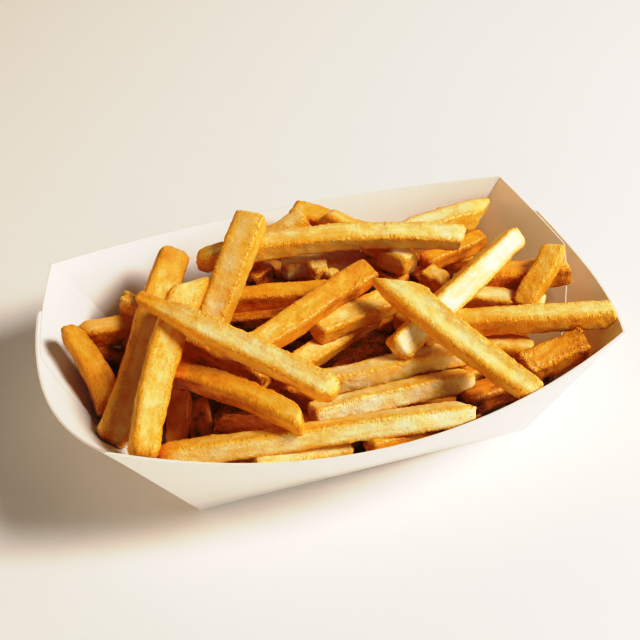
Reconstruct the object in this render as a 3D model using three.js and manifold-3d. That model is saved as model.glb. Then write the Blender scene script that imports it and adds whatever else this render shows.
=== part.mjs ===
// French fries heaped in an open paperboard food tray.
// Millimetres, +Z up. The origin is the middle of the tray's flat base, on the surface it stands on.
// +X runs along the tray to its right end, +Y to its back wall.
import * as THREE from "three";
import { mergeVertices } from "three/addons/utils/BufferGeometryUtils.js";
import Module from "manifold-3d";

const wasm = await Module();
wasm.setup();

// ---- The tray ----
const BASE_HALF_LENGTH = 59;
const BASE_HALF_WIDTH = 42;
const CORNER_HALF_LENGTH = 88; // the rim's four corners, at the tips of the corner creases
const CORNER_HALF_WIDTH = 49.3;
const CORNER_HEIGHT = 43.3;
const SIDE_BULGE = 18; // how far a long wall's rim bows out, halfway along
const SIDE_DIP = 8; // and how far it comes down there, because board doesn't stretch
const END_BULGE = 12;
const END_DIP = 11;
const BOARD = 0.6; // thickness of the board
const SIDE_STEPS = 20; // facets along a long wall
const END_STEPS = 14;
const WALL_STEPS = 6; // facets up a wall
const RIM_INSET = { side: 1.25, end: 1.6 }; // level thickness of a leaning wall, in board thicknesses
const FOOT_INSET = 0.5;

// Each end wall is two glued flaps. The back wall's flap lies inside the front wall's, and its free
// edge runs from the rim down to the front corner of the base.
const FLAP_EDGE_AT_RIM = 0.28; // where it meets the rim, as a share of the end wall's half width
const FLAP_EDGE_SLANT = 1.83; // how far it moves to the front over the wall's whole height
const FLAP_REACH = 0.985; // how near it comes to the corner creases, as that share
const FLAP_THICKNESS = 0.5;
const FLAP_ROWS = 8;
const FLAP_COLUMNS = 14;

// ---- The heap ----
const GAP = 0.35; // between the food and the board
const HEADROOM = 110; // above the tallest fry
const CORE = { x: 1, y: -1, halfLength: 76, halfWidth: 54, height: 15 }; // the hidden middle
const FRY_SIDES = 8;
const FRY_STEPS = 5;
const PLUMP = 1.06; // a fry's section against the width and thickness in its row
const CHAMFER = 0.32; // share of a fry's half width that its long edges lose
const END_TAPER = 0.8; // a fry's cut end against its full section
const END_ROUND = 0.35; // length of that taper, in widths
const END_SLANT = 1.6; // how far a cut end leans from square, at most
const SLANT_STEP = 2.4; // radians from one fry's lean to the next one's

// Every fry that shows, lowest layer first:
// middles of its two ends, width, thickness, then by how many degrees its top leans to the right
// of its direction, and how far its middle bows to the left of that direction and upwards.
const FRIES = [
  // deep, seen through the gaps
  [[-83, 19, 25], [-62, 11, 17], 8, 8],
  [[-84, 20, 32], [-57, 29, 23], 7.5, 7.5],
  [[-50, -8, 15], [-53, -31, 14], 8, 8, 10],
  [[-56, -9, 23], [-62, -26, 14], 7.5, 7.5],
  [[33, -43, 22], [66, -38, 21], 8, 8],
  [[-14, 55, 22], [4, 33, 23], 7, 7],
  [[-47, -26, 19], [-24, -43, 24], 8, 8],
  [[-52, 18, 26], [-28, -20, 31], 8, 8],
  [[41, -17, 26], [64, -32, 26], 8, 8],
  [[-11, -55, 27], [-43, -54, 28], 7, 7],
  [[-7, -59, 30], [26, -57, 26], 7, 7],
  [[-33, 21, 24], [-6, 14, 26], 7, 7],
  // left end and back
  [[-88, 19, 38], [-80, -12, 23], 9, 8, 4, 2, 0],
  [[-66, 33, 33], [-49, 21, 27], 6.5, 6.5],
  [[-5, 37, 30], [25, 35, 28], 7, 7],
  [[74, 33, 28], [47, 27, 26], 6.5, 6.5],
  [[51, 6, 26], [78, -12, 28], 7, 7],
  [[-33, 25, 31], [12, 15, 31], 7.5, 7.5],
  [[41, 25, 29], [31, 47, 29], 8, 8, 15],
  [[76, 39, 35], [38, 31, 36], 9, 8, 0, -2, 1],
  [[4, 55, 42], [31, 37, 35], 7.5, 7.5, 15],
  [[13, 44, 44], [33, 27, 37], 7.5, 7.5, -15],
  [[7, 46, 44], [-22, 39, 35], 7.5, 7.5],
  [[55, 4, 33], [91, -3, 35], 8.5, 8.5],
  // middle and front
  [[-23, -21, 33], [19, 4, 27], 7.5, 6.5, 18],
  [[-8, -10, 38], [31, 2, 36], 8, 7, 12],
  [[-13, -26, 29], [44, -29, 31], 7.5, 7.5],
  [[-20, -42, 31], [39, -37, 26], 7, 7, 0, 1, 0],
  [[56, -41, 29], [79, -39, 32], 9, 9, 10],
  [[-37, 37, 41], [58, 17, 43], 7.5, 7.5, 6, 3.5, 2.5],
  [[85, -2, 46], [68, -14, 31], 7.5, 7, -2],
  [[37, -16, 34], [93, -34, 38], 8, 7.5],
  [[-43, 45, 41], [-83, -28, 26], 11, 8, -24],
  [[-15, 40, 54], [-42, 7, 31], 9, 8],
  // on top
  [[18, 7, 45], [-36, -20, 44], 8.5, 7.5, -14],
  [[75, 8, 47], [15, -27, 37], 8.5, 7, -44],
  [[-71, -45, 32], [26, -61, 36], 7, 7, -14],
  [[-65, -8, 35], [-27, -54, 41], 7.5, 7.5, 8, 2.5, 1.5],
  [[-45, 15, 48], [-77, -50, 38], 10.6, 8, -20, -2.4, 0],
  [[22, -8, 49], [49, -61, 38], 8, 6.5, 12, -1.3, 0],
  [[-64, 8, 54], [-14, -49, 46], 8, 7.5, 20],
];

// More fries fill the gaps from below, first those that show in them and then a bed under those.
// Each lies level, as high as what covers it allows, and presses into that by FILL_SINK.
const FILL_LAYERS = [
  { seed: 20, tries: 900, most: 30, top: 36, lowest: 15 },
  { seed: 31, tries: 1500, most: 60, top: 26, lowest: 8 },
];
const FILL_AREA = { halfLength: 74, halfWidth: 48 };
const FILL_SIZE = { width: 7.5, shortest: 35, longest: 60 };
const FILL_SINK = 0.8;
const FILL_STEPS = 8; // places along a fry where its height is found
const FREE_CORNER = { x: -45, y: 26 }; // the back left corner, which the heap leaves open

const UP = new THREE.Vector3(0, 0, 1);

// ---- Meshes into solids and back ----

// A three.js geometry as a manifold-3d solid.
function solidOf(geometry) {
  const bare = geometry.clone();
  bare.deleteAttribute("normal");
  bare.deleteAttribute("uv");
  const merged = mergeVertices(bare, 1e-4);
  return new wasm.Manifold(
    new wasm.Mesh({
      numProp: 3,
      vertProperties: new Float32Array(merged.attributes.position.array),
      triVerts: new Uint32Array(merged.index.array),
    }),
  );
}

// A manifold-3d solid as a named three.js mesh.
function meshOf(solid, name, material) {
  const { vertProperties, triVerts, numProp, numVert } = solid.getMesh();
  const points = new Float32Array(numVert * 3);
  for (let i = 0; i < numVert; i++) {
    points.set(vertProperties.subarray(i * numProp, i * numProp + 3), i * 3);
  }
  const geometry = new THREE.BufferGeometry();
  geometry.setAttribute("position", new THREE.BufferAttribute(points, 3));
  geometry.setIndex(new THREE.BufferAttribute(triVerts, 1));
  geometry.computeVertexNormals();
  const mesh = new THREE.Mesh(geometry, material);
  mesh.name = name;
  return mesh;
}

// Triangles from a list of points and a list of corner numbers.
function geometryOf(points, corners) {
  const geometry = new THREE.BufferGeometry().setFromPoints(points);
  geometry.setIndex(corners);
  return geometry;
}

// A closed body swept through rings of equal length, with a fan over its first and last ring.
function solidFromRings(rings) {
  const count = rings[0].length;
  const points = rings.flat();
  const corners = [];
  for (let r = 0; r < rings.length - 1; r++) {
    for (let i = 0; i < count; i++) {
      const a = r * count + i;
      const b = r * count + ((i + 1) % count);
      corners.push(a, b, b + count, a, b + count, a + count);
    }
  }
  const last = (rings.length - 1) * count;
  const middles = [rings[0], rings[rings.length - 1]].map((ring) => {
    const middle = new THREE.Vector3();
    ring.forEach((p) => middle.add(p));
    return middle.divideScalar(count);
  });
  const first = points.length;
  points.push(...middles);
  for (let i = 0; i < count; i++) {
    const next = (i + 1) % count;
    corners.push(first, next, i);
    corners.push(first + 1, last + i, last + next);
  }
  return solidOf(geometryOf(points, corners));
}

// A closed body between an outer and an inner sheet of points, each a list of rows.
function solidFromSheets(outer, inner) {
  const rows = outer.length;
  const width = outer[0].length;
  const points = [...outer.flat(), ...inner.flat()];
  const back = rows * width;
  const at = (row, column) => row * width + column;
  const corners = [];
  const quad = (a, b, c, d) => corners.push(a, b, c, a, c, d);
  for (let r = 0; r < rows - 1; r++) {
    for (let c = 0; c < width - 1; c++) {
      quad(at(r, c), at(r, c + 1), at(r + 1, c + 1), at(r + 1, c));
      quad(back + at(r, c), back + at(r + 1, c), back + at(r + 1, c + 1), back + at(r, c + 1));
    }
    quad(at(r + 1, 0), back + at(r + 1, 0), back + at(r, 0), at(r, 0));
    const end = width - 1;
    quad(at(r, end), back + at(r, end), back + at(r + 1, end), at(r + 1, end));
  }
  for (let c = 0; c < width - 1; c++) {
    const top = rows - 1;
    quad(at(0, c + 1), at(0, c), back + at(0, c), back + at(0, c + 1));
    quad(at(top, c), at(top, c + 1), back + at(top, c + 1), back + at(top, c));
  }
  return solidOf(geometryOf(points, corners));
}

// ---- The tray ----

// A point of a wall. t runs along it from -1 to 1 with +X or +Y, v up it from 0 to 1, and
// inset is how far inside the board's outer face it lies.
function wallPoint(wall, t, v, inset) {
  const bulge = 1 - t * t;
  const footInset = FOOT_INSET * inset;
  const footX = BASE_HALF_LENGTH - footInset;
  const footY = BASE_HALF_WIDTH - footInset;
  const rimX = CORNER_HALF_LENGTH - RIM_INSET.end * inset;
  const rimY = CORNER_HALF_WIDTH - RIM_INSET.side * inset;
  const foot = wall.long
    ? new THREE.Vector3(t * footX, wall.sign * footY, inset)
    : new THREE.Vector3(wall.sign * footX, t * footY, inset);
  const rim = wall.long
    ? new THREE.Vector3(t * rimX, wall.sign * (rimY + SIDE_BULGE * bulge), CORNER_HEIGHT - SIDE_DIP * bulge)
    : new THREE.Vector3(wall.sign * (rimX + END_BULGE * bulge), t * rimY, CORNER_HEIGHT - END_DIP * bulge);
  return foot.lerp(rim, v);
}

const WALLS = [
  { long: true, sign: -1, from: -1, steps: SIDE_STEPS }, // front
  { long: false, sign: 1, from: -1, steps: END_STEPS }, // right end
  { long: true, sign: 1, from: 1, steps: SIDE_STEPS }, // back
  { long: false, sign: -1, from: 1, steps: END_STEPS }, // left end
];

// The tray's outline at one height, once round, anticlockwise from above.
function outline(v, inset) {
  const points = [];
  for (const wall of WALLS) {
    for (let i = 0; i < wall.steps; i++) {
      const t = wall.from * (1 - (2 * i) / wall.steps);
      points.push(wallPoint(wall, t, v, inset));
    }
  }
  return points;
}

function traySolid() {
  const rings = [];
  for (let i = 0; i <= WALL_STEPS; i++) rings.push(outline(i / WALL_STEPS, 0));
  for (let i = WALL_STEPS; i >= 0; i--) rings.push(outline(i / WALL_STEPS, BOARD));
  let tray = solidFromRings(rings);
  for (const end of WALLS.filter((wall) => !wall.long)) tray = tray.add(flapSolid(end));
  return tray;
}

// The inner flap of one end wall, sunk halfway into the wall that it is glued to.
function flapSolid(end) {
  const sheet = (inset) => {
    const lines = [];
    for (let r = 0; r <= FLAP_ROWS; r++) {
      const v = r / FLAP_ROWS;
      const edge = Math.max(-FLAP_REACH, FLAP_EDGE_AT_RIM - FLAP_EDGE_SLANT * (1 - v));
      const line = [];
      for (let c = 0; c <= FLAP_COLUMNS; c++) {
        const t = THREE.MathUtils.lerp(edge, FLAP_REACH, c / FLAP_COLUMNS);
        line.push(wallPoint(end, t, v, inset));
      }
      lines.push(line);
    }
    return lines;
  };
  const glued = sheet(BOARD / 2);
  const free = sheet(BOARD + FLAP_THICKNESS);
  return end.sign > 0 ? solidFromSheets(glued, free) : solidFromSheets(free, glued);
}

// The space that the food may take up: inside the board by GAP, and open above the rim.
function foodSpace() {
  const inset = BOARD + FLAP_THICKNESS + GAP;
  const rings = [];
  for (let i = 0; i <= WALL_STEPS; i++) rings.push(outline(i / WALL_STEPS, inset));
  rings.push(outline(1, inset).map((p) => new THREE.Vector3(p.x, p.y, HEADROOM)));
  return solidFromRings(rings);
}

// ---- The fries ----

// One fry as a stick of chamfered section along a bowed line.
function frySolid(fry, number) {
  const [start, finish, width, thick, roll = 0, bowLeft = 0, bowUp = 0] = fry;
  const from = new THREE.Vector3(...start);
  const to = new THREE.Vector3(...finish);
  const axis = to.clone().sub(from);
  const length = axis.length();
  axis.normalize();
  const levelRight = new THREE.Vector3().crossVectors(axis, UP).normalize();
  const turn = new THREE.Quaternion().setFromAxisAngle(axis, THREE.MathUtils.degToRad(roll));
  const right = levelRight.clone().applyQuaternion(turn);
  const top = new THREE.Vector3().crossVectors(levelRight, axis).applyQuaternion(turn);
  const bow = levelRight.multiplyScalar(-bowLeft).addScaledVector(UP, bowUp);
  const roundShare = (END_ROUND * width) / length;
  const slant = END_SLANT * Math.sin(number * SLANT_STEP);

  const geometry = new THREE.CylinderGeometry(1, 1, 1, FRY_SIDES, FRY_STEPS, false, Math.PI / FRY_SIDES);
  const position = geometry.attributes.position;
  // A point of the round section goes to the near corner of a chamfered square.
  const squared = (value) => {
    if (Math.abs(value) < 1e-6) return 0;
    return Math.sign(value) * (Math.abs(value) > 0.5 ? 1 : 1 - CHAMFER);
  };
  for (let i = 0; i < position.count; i++) {
    const level = Math.round((position.getY(i) + 0.5) * FRY_STEPS);
    const atEnd = level === 0 || level === FRY_STEPS;
    const inner = roundShare + ((1 - 2 * roundShare) * (level - 1)) / (FRY_STEPS - 2);
    const share = atEnd ? level / FRY_STEPS : inner;
    const scale = atEnd ? PLUMP * END_TAPER : PLUMP;
    const across = squared(position.getX(i)) * scale;
    const upwards = squared(position.getZ(i)) * scale;
    const point = from.clone().lerp(to, share);
    point.addScaledVector(bow, 4 * share * (1 - share));
    point.addScaledVector(right, (across * width) / 2);
    point.addScaledVector(top, (upwards * thick) / 2);
    if (atEnd) point.addScaledVector(axis, slant * across * (level ? 1 : -1));
    position.setXYZ(i, point.x, point.y, point.z);
  }
  return solidOf(geometry);
}

// A repeatable stream of random numbers from 0 to 1.
function randomStream(seed) {
  let state = seed;
  return () => {
    state = (state + 0x6d2b79f5) | 0;
    let t = Math.imul(state ^ (state >>> 15), 1 | state);
    t = (t + Math.imul(t ^ (t >>> 7), 61 | t)) ^ t;
    return ((t ^ (t >>> 14)) >>> 0) / 4294967296;
  };
}

// The height of the tray's inner face over a point of the plan.
function wallHeight(x, y) {
  const alongX = Math.min(1, Math.abs(x) / CORNER_HALF_LENGTH);
  const alongY = Math.min(1, Math.abs(y) / CORNER_HALF_WIDTH);
  const sideBulge = 1 - alongX * alongX;
  const endBulge = 1 - alongY * alongY;
  const sideReach = CORNER_HALF_WIDTH + SIDE_BULGE * sideBulge - BASE_HALF_WIDTH;
  const endReach = CORNER_HALF_LENGTH + END_BULGE * endBulge - BASE_HALF_LENGTH;
  const side = (Math.abs(y) - BASE_HALF_WIDTH) / sideReach;
  const end = (Math.abs(x) - BASE_HALF_LENGTH) / endReach;
  return Math.max(0, side * (CORNER_HEIGHT - SIDE_DIP * sideBulge), end * (CORNER_HEIGHT - END_DIP * endBulge));
}

// How high the axis of a stick may run at a point of the plan under one fry.
function ceilingUnder(fry, x, y, width) {
  const [[x0, y0, z0], [x1, y1, z1], fryWidth, fryThick] = fry;
  const dx = x1 - x0;
  const dy = y1 - y0;
  const along = THREE.MathUtils.clamp(((x - x0) * dx + (y - y0) * dy) / (dx * dx + dy * dy), 0, 1);
  const apart = Math.hypot(x - x0 - along * dx, y - y0 - along * dy);
  const reach = (fryWidth + width) / 2;
  if (apart >= reach) return Infinity;
  const clear = ((fryThick + width) / 2) * (1 - (apart / reach) ** 4) ** 0.25;
  return z0 + along * (z1 - z0) - clear;
}

// The fries of one filling layer, laid under those given.
function fillLayer(layer, above) {
  const random = randomStream(layer.seed);
  const spread = (half) => (2 * random() - 1) * half;
  const { width, shortest, longest } = FILL_SIZE;
  const made = [];
  for (let n = 0; n < layer.tries && made.length < layer.most; n++) {
    const x = spread(FILL_AREA.halfLength);
    const y = spread(FILL_AREA.halfWidth);
    const yaw = random() * Math.PI;
    const half = (shortest + (longest - shortest) * random()) / 2;
    const ux = Math.cos(yaw);
    const uy = Math.sin(yaw);
    let height = layer.top;
    let ground = 0;
    for (let i = 0; i <= FILL_STEPS; i++) {
      const shift = half * ((2 * i) / FILL_STEPS - 1);
      const px = x + shift * ux;
      const py = y + shift * uy;
      for (const fry of [...above, ...made]) {
        height = Math.min(height, ceilingUnder(fry, px, py, width));
      }
      ground = Math.max(ground, wallHeight(px, py) + width);
    }
    height += FILL_SINK;
    const inCorner = x - half * Math.abs(ux) < FREE_CORNER.x && y + half * Math.abs(uy) > FREE_CORNER.y;
    if (inCorner || height < Math.max(layer.lowest, ground)) continue;
    const end = (side) => [x + side * half * ux, y + side * half * uy, height];
    made.push([end(-1), end(1), width, width]);
  }
  return made;
}

// Every fry of the heap, the ones that show first.
function allFries() {
  return FILL_LAYERS.reduce((fries, layer) => [...fries, ...fillLayer(layer, fries)], FRIES);
}

function coreSolid() {
  const ball = new THREE.SphereGeometry(1, 20, 12);
  ball.scale(CORE.halfLength, CORE.height, CORE.halfWidth);
  ball.rotateX(Math.PI / 2);
  ball.translate(CORE.x, CORE.y, 0);
  return solidOf(ball);
}

// The whole heap as one body: the pieces fused to the core, trimmed to the tray,
// without the small hollows that fusing seals.
function heapSolid() {
  const pieces = allFries().map(frySolid);
  const heap = pieces.reduce((sum, piece) => sum.add(piece), coreSolid());
  const bodies = heap.intersect(foodSpace()).decompose();
  return bodies.reduce((a, b) => (a.volume() > b.volume() ? a : b));
}

const board = new THREE.MeshStandardMaterial({ color: 0xf3f0ea, roughness: 0.62, metalness: 0 });
const potato = new THREE.MeshStandardMaterial({ color: 0xe0ac4f, roughness: 0.5, metalness: 0 });

const friesInTray = new THREE.Group();
friesInTray.add(meshOf(traySolid(), "carton", board));
friesInTray.add(meshOf(heapSolid(), "fries", potato));

export default friesInTray;
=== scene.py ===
"""French fries heaped in an open paperboard tray: the looks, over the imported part.

Shapes are worked out in millimetres in the part's own frame: the origin is the middle of the
tray's base, +X runs to the tray's right end, +Y to its back wall and +Z up. They turn into
metres where a mesh is made.
"""

import logging
import math
from dataclasses import dataclass, field
from enum import Enum

import bpy
import numpy as np
from mathutils import Matrix, Vector


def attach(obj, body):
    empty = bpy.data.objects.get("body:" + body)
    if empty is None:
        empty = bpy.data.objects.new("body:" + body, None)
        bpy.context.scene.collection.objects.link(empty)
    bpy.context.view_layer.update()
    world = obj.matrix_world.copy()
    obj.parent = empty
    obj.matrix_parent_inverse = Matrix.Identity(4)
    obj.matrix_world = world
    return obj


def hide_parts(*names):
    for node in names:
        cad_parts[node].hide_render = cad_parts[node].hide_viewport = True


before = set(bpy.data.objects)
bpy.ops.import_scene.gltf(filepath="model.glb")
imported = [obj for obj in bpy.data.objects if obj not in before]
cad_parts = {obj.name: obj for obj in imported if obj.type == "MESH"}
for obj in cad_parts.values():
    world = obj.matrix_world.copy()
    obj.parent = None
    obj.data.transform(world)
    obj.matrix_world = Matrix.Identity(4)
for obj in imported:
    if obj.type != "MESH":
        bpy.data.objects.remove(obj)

Point = tuple[float, float, float]
Colour = tuple[float, float, float]
Pair = tuple[float, float]
Array = np.ndarray
Socket = bpy.types.NodeSocket

MM = 0.001
UP = np.array([0.0, 0.0, 1.0])

log = logging.getLogger("fries")


# -------- small helpers


def linear(display: float) -> float:
    """The light that a display value from 0 to 1 stands for."""
    return ((display + 0.055) / 1.055) ** 2.4 if display > 0.04045 else display / 12.92


def srgb(red: int, green: int, blue: int) -> Colour:
    """A display colour, 0 to 255 a channel, as the linear values that a shader works in."""
    return linear(red / 255), linear(green / 255), linear(blue / 255)


def smoothstep(low: float, high: float, value: Array) -> Array:
    """0 below low, 1 above high and a smooth rise between them."""
    share = np.clip((value - low) / (high - low), 0.0, 1.0)
    return share * share * (3.0 - 2.0 * share)


def unit(vector: Array) -> Array:
    """The vectors along the last axis, at length one."""
    return vector / np.maximum(np.linalg.norm(vector, axis=-1, keepdims=True), 1e-12)


def quads(sheet: Array, flip: bool = False) -> list[list[int]]:
    """The four-cornered faces of a grid of corner numbers, turned over if flip is set."""
    a, b, c, d = sheet[:-1, :-1], sheet[:-1, 1:], sheet[1:, 1:], sheet[1:, :-1]
    return np.stack((a, d, c, b) if flip else (a, b, c, d), -1).reshape(-1, 4).tolist()


def closed_rings(rings: int, around: int) -> Array:
    """Corner numbers of rings with so many corners, each row ending with its first number again."""
    number = np.arange(rings * around).reshape(rings, around)
    return np.concatenate([number, number[:, :1]], axis=1)


def add_object(name: str, data: bpy.types.ID) -> bpy.types.Object:
    """A new object in the scene.

    Args:
        name: its name.
        data: the mesh, lamp or camera that it shows.

    Returns:
        The object, linked to the scene.
    """
    made = bpy.data.objects.new(name, data)
    bpy.context.scene.collection.objects.link(made)
    return made


class LatticeNoise:
    """Smooth repeatable noise over three coordinates, from -1 to 1."""

    ENTRIES = 4096
    HASH_STEPS = np.array([73856093, 19349663, 83492791])

    def __init__(self, seed: int) -> None:
        """Fills the lattice's table from a seed."""
        self.table = np.random.default_rng(seed).uniform(-1.0, 1.0, self.ENTRIES)

    def __call__(self, points: Array) -> Array:
        """The noise at each point of an (..., 3) array.

        Args:
            points: the places, in steps of the lattice.

        Returns:
            One number for each place.
        """
        cell = np.floor(points).astype(np.int64)
        part = points - cell
        part = part * part * (3.0 - 2.0 * part)
        total = np.zeros(points.shape[:-1])
        for corner in range(8):
            step = np.array([corner & 1, corner >> 1 & 1, corner >> 2 & 1])
            weight = np.prod(np.where(step, part, 1.0 - part), axis=-1)
            code = np.bitwise_xor.reduce((cell + step) * self.HASH_STEPS, axis=-1)
            total += weight * self.table[code & (self.ENTRIES - 1)]
        return total


class RandomStream:
    """The same repeatable numbers from 0 to 1 that the part's own source draws."""

    WORD = 0xFFFFFFFF
    STRIDE = 0x6D2B79F5

    def __init__(self, seed: int) -> None:
        """Starts the stream."""
        self.state = seed

    def __call__(self) -> float:
        """The next number.

        Returns:
            A number from 0 up to 1.
        """
        self.state = (self.state + self.STRIDE) & self.WORD
        mixed = ((self.state ^ (self.state >> 15)) * (1 | self.state)) & self.WORD
        mixed ^= (mixed + (mixed ^ (mixed >> 7)) * (61 | mixed)) & self.WORD
        return ((mixed ^ (mixed >> 14)) & self.WORD) / (self.WORD + 1)


@dataclass
class MeshParts:
    """Points, faces and per-point values that grow piece by piece into one mesh."""

    points: list[Array] = field(default_factory=list)
    faces: list[list[int]] = field(default_factory=list)
    values: dict[str, list[Array]] = field(default_factory=dict)
    count: int = 0

    def add(self, points: Array, faces: list[list[int]], **values: Array) -> None:
        """Adds one body.

        Args:
            points: (n, 3) places in millimetres.
            faces: corner numbers of each face, counted within this body.
            **values: per-point numbers or vectors, under their attribute's name.
        """
        self.points.append(points)
        self.faces += [[corner + self.count for corner in face] for face in faces]
        for name, value in values.items():
            self.values.setdefault(name, []).append(value)
        self.count += len(points)

    def build(self, name: str, material: bpy.types.Material, smooth_below: float = 180.0) -> bpy.types.Object:
        """Makes the Blender object.

        Args:
            name: the object's name.
            material: the finish of every face.
            smooth_below: edges that turn by fewer degrees than this are shaded smooth.

        Returns:
            The object, linked to the scene.
        """
        mesh = bpy.data.meshes.new(name)
        mesh.from_pydata((np.concatenate(self.points) * MM).tolist(), [], self.faces)
        mesh.update()
        for label, arrays in self.values.items():
            data = np.concatenate(arrays)
            kind = "FLOAT" if data.ndim == 1 else "FLOAT_VECTOR"
            attribute = mesh.attributes.new(label, kind, "POINT")
            channel = "value" if data.ndim == 1 else "vector"
            attribute.data.foreach_set(channel, data.astype(np.float32).ravel())
        mesh.materials.append(material)
        mesh.shade_smooth()
        if smooth_below < 180.0:
            mesh.set_sharp_from_angle(angle=math.radians(smooth_below))
        return add_object(name, mesh)


def dress(piece: bpy.types.Object, slot: str, *nodes: str) -> None:
    """Ties a finished piece to the part.

    Args:
        piece: the object.
        slot: the record's material slot; not used.
        *nodes: the part's solids that it stands for.
    """
    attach(piece, "root")
    if nodes:
        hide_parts(*nodes)
    log.info("%s: %d faces", piece.name, len(piece.data.polygons))


# -------- finishes


class Recipe:
    """A node material in the making."""

    def __init__(self, name: str) -> None:
        """Starts an empty material with its output.

        Args:
            name: the material's name.
        """
        self.material = bpy.data.materials.new(name)
        self.material.use_nodes = True
        self.tree = self.material.node_tree
        self.tree.nodes.clear()
        self.output = self.tree.nodes.new("ShaderNodeOutputMaterial")

    def node(self, kind: str, settings: dict | None = None, **inputs: object) -> bpy.types.Node:
        """Adds a node.

        Args:
            kind: the node's type, without the words ShaderNode.
            settings: the node's own settings.
            **inputs: values or sockets by input name, with _ for a space.

        Returns:
            The node.
        """
        made = self.tree.nodes.new("ShaderNode" + kind)
        for key, value in (settings or {}).items():
            setattr(made, key, value)
        for key, value in inputs.items():
            self.feed(made.inputs[key.replace("_", " ")], value)
        return made

    def feed(self, socket: Socket, value: object) -> None:
        """Links a socket into an input, or sets the input's own value.

        Args:
            socket: the input.
            value: a socket, or a plain value of the kind that the input takes.
        """
        if isinstance(value, Socket):
            self.tree.links.new(value, socket)
        else:
            socket.default_value = value

    def math(self, operation: str, a: object, b: object) -> Socket:
        """The result of a sum or a comparison of two values.

        Args:
            operation: the sum's name in the shader.
            a: the first value or socket.
            b: the second.

        Returns:
            The socket with the result.
        """
        made = self.node("Math", {"operation": operation})
        self.feed(made.inputs[0], a)
        self.feed(made.inputs[1], b)
        return made.outputs[0]

    def spread(self, value: object, low: float, high: float, to_low: float, to_high: float) -> Socket:
        """A value's range stretched to another, and held at its ends.

        Args:
            value: the value or socket.
            low: where its range starts.
            high: where it ends.
            to_low: what low becomes.
            to_high: what high becomes.

        Returns:
            The socket with the new value.
        """
        made = self.node("MapRange", {"clamp": True})
        for socket, number in zip(made.inputs, (value, low, high, to_low, to_high)):
            self.feed(socket, number)
        return made.outputs[0]

    def attribute(self, name: str, output: str = "Fac") -> Socket:
        """A per-point value of the mesh."""
        return self.node("Attribute", {"attribute_name": name}).outputs[output]

    def scaled(self, vector: Socket, by: Point) -> Socket:
        """A vector stretched by three numbers."""
        return self.node("Mapping", Vector=vector, Scale=by).outputs[0]

    def noise(self, vector: object, scale: float, detail: float, rough: float) -> Socket:
        """Cloudy noise, about 0.3 to 0.7 for most of its range."""
        inputs = {"Vector": vector, "Scale": scale, "Detail": detail, "Roughness": rough}
        return self.node("TexNoise", **inputs).outputs["Fac"]

    def cells(self, vector: object, scale: float) -> bpy.types.Node:
        """A cell pattern, with the distance to each cell's middle."""
        return self.node("TexVoronoi", Vector=vector, Scale=scale)

    def ramp(self, value: object, stops: list[tuple[float, Colour]]) -> Socket:
        """A colour for each value, along a row of stops.

        Args:
            value: the value or socket, from 0 to 1.
            stops: the place of each stop and its colour, in order.

        Returns:
            The socket with the colour.
        """
        made = self.node("ValToRGB", Fac=value)
        elements = made.color_ramp.elements
        while len(elements) < len(stops):
            elements.new(0.5)
        for element, (place, colour) in zip(elements, stops):
            element.position = place
            element.color = (*colour, 1.0)
        return made.outputs["Color"]

    def mix(self, share: object, a: object, b: object) -> Socket:
        """A blend of two colours.

        Args:
            share: how much of the second one there is, from 0 to 1.
            a: the first colour, or its socket.
            b: the second.

        Returns:
            The socket with the blend.
        """
        made = self.node("Mix", {"data_type": "RGBA"})
        self.feed(made.inputs[0], share)
        self.feed(made.inputs[6], a if isinstance(a, Socket) else (*a, 1.0))
        self.feed(made.inputs[7], b if isinstance(b, Socket) else (*b, 1.0))
        return made.outputs[2]

    def relief(self, *layers: tuple[object, float, float]) -> Socket:
        """Small relief in layers, each given by its height, its depth in metres and its strength.

        Args:
            *layers: height, depth and strength of each, the broadest first.

        Returns:
            The socket with the surface's direction.
        """
        inputs = {}
        for height, depth, strength in layers:
            made = self.node("Bump", Height=height, Distance=depth, Strength=strength, **inputs)
            inputs = {"Normal": made.outputs[0]}
        return inputs["Normal"]

    def finish(self, **inputs: object) -> bpy.types.Material:
        """Closes the material with its surface shader.

        Args:
            **inputs: values or sockets of the shader's inputs.

        Returns:
            The finished material.
        """
        shader = self.node("BsdfPrincipled", **inputs)
        self.tree.links.new(shader.outputs[0], self.output.inputs["Surface"])
        return self.material


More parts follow.
